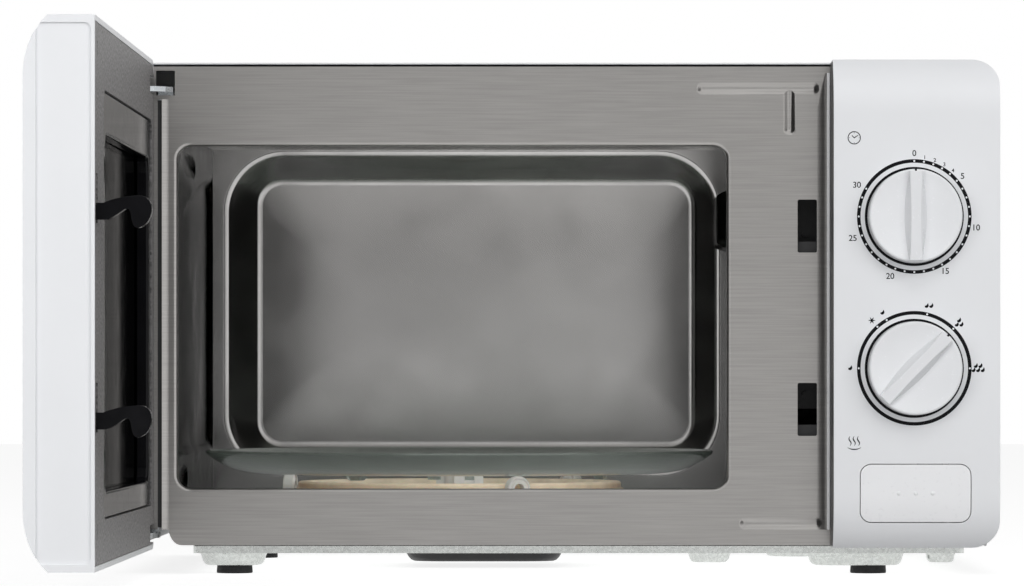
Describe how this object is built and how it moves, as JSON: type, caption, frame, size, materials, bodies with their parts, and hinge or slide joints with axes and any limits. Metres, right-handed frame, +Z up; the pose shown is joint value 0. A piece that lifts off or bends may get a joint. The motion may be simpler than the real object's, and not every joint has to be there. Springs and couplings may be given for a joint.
{
  "type": "microwave oven",
  "caption": "Countertop microwave oven with a left-hinged door standing open, a glass turntable, two rotary knobs and a push-to-open button.",
  "frame": {"origin": "on the table, under the middle of the oven's bounding box with its door open at a right angle", "axes": "+Z up, front of the oven towards -Y, control panel towards +X"},
  "size_m": [0.4564, 0.6832, 0.2595],
  "materials": {
    "white_plastic": "smooth moulded white plastic, soft gloss",
    "knob_plastic": "white plastic with a fine turned face",
    "white_paint": "white powder coat on steel sheet",
    "brushed_steel": "horizontally brushed stainless sheet",
    "cavity_steel": "satin stainless sheet, pressed",
    "galvanised_steel": "galvanised sheet with a faint spangle",
    "grey_paint": "grey speckled powder coat",
    "gloss_black": "polished black plastic",
    "black_plastic": "fine-grained black plastic",
    "foot_rubber": "matt black rubber",
    "turntable_glass": "clear pressed glass with a dimpled underside",
    "smoked_window": "glossy dark film",
    "outer_glass": "clear glass",
    "screen_steel": "black perforated steel sheet",
    "amber_plastic": "translucent beige heat-proof plastic",
    "nylon": "natural nylon",
    "zinc_plate": "zinc-plated steel",
    "core_iron": "varnished steel laminations",
    "copper": "lacquered winding wire",
    "aluminium": "plain aluminium"
  },
  "bodies": {
    "cabinet": {"outer_cabinet": "white_paint", "front_plate": "brushed_steel", "cavity_floor": "cavity_steel", "cavity_ceiling": "cavity_steel", "cavity_left_wall": "cavity_steel", "cavity_right_wall": "cavity_steel", "cavity_back_wall": "cavity_steel", "waveguide_cover": "cavity_steel", "base_pan": "galvanised_steel", "foot_front_left": "foot_rubber", "foot_front_right": "foot_rubber", "foot_rear_left": "foot_rubber", "foot_rear_right": "foot_rubber", "motor_cover": "black_plastic", "rear_panel": "galvanised_steel", "cord_gland": "black_plastic", "control_panel": "white_plastic", "timer_mechanism": "nylon", "power_selector": "black_plastic", "timer_bell": "zinc_plate", "latch_board": "nylon", "lever_spring": "zinc_plate", "door_switch_upper": "black_plastic", "door_switch_middle": "black_plastic", "door_switch_lower": "black_plastic", "lower_hinge_arm": "zinc_plate", "upper_hinge_arm": "zinc_plate", "turntable_motor": "zinc_plate", "waveguide": "galvanised_steel", "magnetron": "aluminium", "transformer_core": "core_iron", "transformer_winding": "copper", "capacitor": "aluminium", "diode": "black_plastic", "line_filter": "nylon", "oven_lamp": "outer_glass", "fan_shroud": "black_plastic", "fan_motor": "core_iron"},
    "door": {"door_frame": "white_plastic", "door_inner_panel": "grey_paint", "choke_cover": "gloss_black", "inner_window_film": "smoked_window", "door_screen": "screen_steel", "outer_window": "outer_glass", "hook_guide": "nylon", "hook_spring": "zinc_plate"},
    "hooks": {"latch_hooks": "gloss_black"},
    "timer_dial": {"timer_knob": "knob_plastic", "timer_shaft": "nylon"},
    "power_dial": {"power_knob": "knob_plastic", "power_shaft": "nylon"},
    "button": {"open_button": "white_plastic"},
    "lever": {"release_lever": "nylon"},
    "coupling": {"turntable_coupling": "nylon"},
    "glass_tray": {"glass_turntable": "turntable_glass"},
    "ring": {"roller_ring": "amber_plastic"},
    "wheel_1": {"roller_wheel_1": "nylon"},
    "wheel_2": {"roller_wheel_2": "nylon"},
    "wheel_3": {"roller_wheel_3": "nylon"},
    "fan": {"fan_blade": "nylon"}
  },
  "joints": [
    {"name": "door_swing", "type": "hinge", "parent": "cabinet", "child": "door", "pos_m": [-0.20575, 0.0089, 0.1365], "axis": [0, 0, 1], "range_deg": [-15, 90]},
    {"name": "hooks_lift", "type": "slide", "parent": "door", "child": "hooks", "axis": [0, 0, 1], "range_m": [0, 0.008], "stiffness_N_per_m": 150, "springref_m": -0.005, "deforming": ["hook_spring"]},
    {"name": "button_press", "type": "slide", "parent": "cabinet", "child": "button", "axis": [0, 1, 0], "range_m": [0, 0.0045], "stiffness_N_per_m": 400, "springref_m": -0.003},
    {"name": "lever_turn", "type": "hinge", "parent": "cabinet", "child": "lever", "pos_m": [0.1585, 0.0286, 0.058], "axis": [1, 0, 0], "range_deg": [0, 21.8]},
    {"name": "timer_turn", "type": "hinge", "parent": "cabinet", "child": "timer_dial", "pos_m": [0.18525, -0.0146, 0.18025], "axis": [0, 1, 0], "range_deg": [0, 300]},
    {"name": "power_turn", "type": "hinge", "parent": "cabinet", "child": "power_dial", "pos_m": [0.18525, -0.0146, 0.1044], "axis": [0, 1, 0], "range_deg": [-134.6, 45.4]},
    {"name": "turntable_spin", "type": "hinge", "parent": "cabinet", "child": "coupling", "pos_m": [-0.04525, 0.1696, 0.04], "axis": [0, 0, 1], "continuous": true},
    {"name": "tray_lift", "type": "slide", "parent": "coupling", "child": "glass_tray", "axis": [0, 0, 1], "range_m": [0, 0.06]},
    {"name": "ring_spin", "type": "hinge", "parent": "cabinet", "child": "ring", "pos_m": [-0.04525, 0.1696, 0.0426], "axis": [0, 0, 1], "continuous": true},
    {"name": "wheel_1_spin", "type": "hinge", "parent": "ring", "child": "wheel_1", "pos_m": [-0.01368, 0.08287, 0.04255], "axis": [0.342, -0.9397, 0], "continuous": true},
    {"name": "wheel_2_spin", "type": "hinge", "parent": "ring", "child": "wheel_2", "pos_m": [0.01408, 0.24031, 0.04255], "axis": [0.6428, 0.766, 0], "continuous": true},
    {"name": "wheel_3_spin", "type": "hinge", "parent": "ring", "child": "wheel_3", "pos_m": [-0.13615, 0.18563, 0.04255], "axis": [-0.9848, 0.1736, 0], "continuous": true},
    {"name": "fan_spin", "type": "hinge", "parent": "cabinet", "child": "fan", "pos_m": [0.16425, 0.322, 0.158], "axis": [0, 1, 0], "continuous": true}
  ],
  "couplings": [
    {"joint": "lever_turn", "follows": "button_press", "rad_per_m": 84},
    {"joint": "ring_spin", "follows": "turntable_spin", "ratio": 0.5},
    {"joint": "wheel_1_spin", "follows": "turntable_spin", "ratio": -7.36},
    {"joint": "wheel_2_spin", "follows": "turntable_spin", "ratio": -7.36},
    {"joint": "wheel_3_spin", "follows": "turntable_spin", "ratio": -7.36}
  ]
}
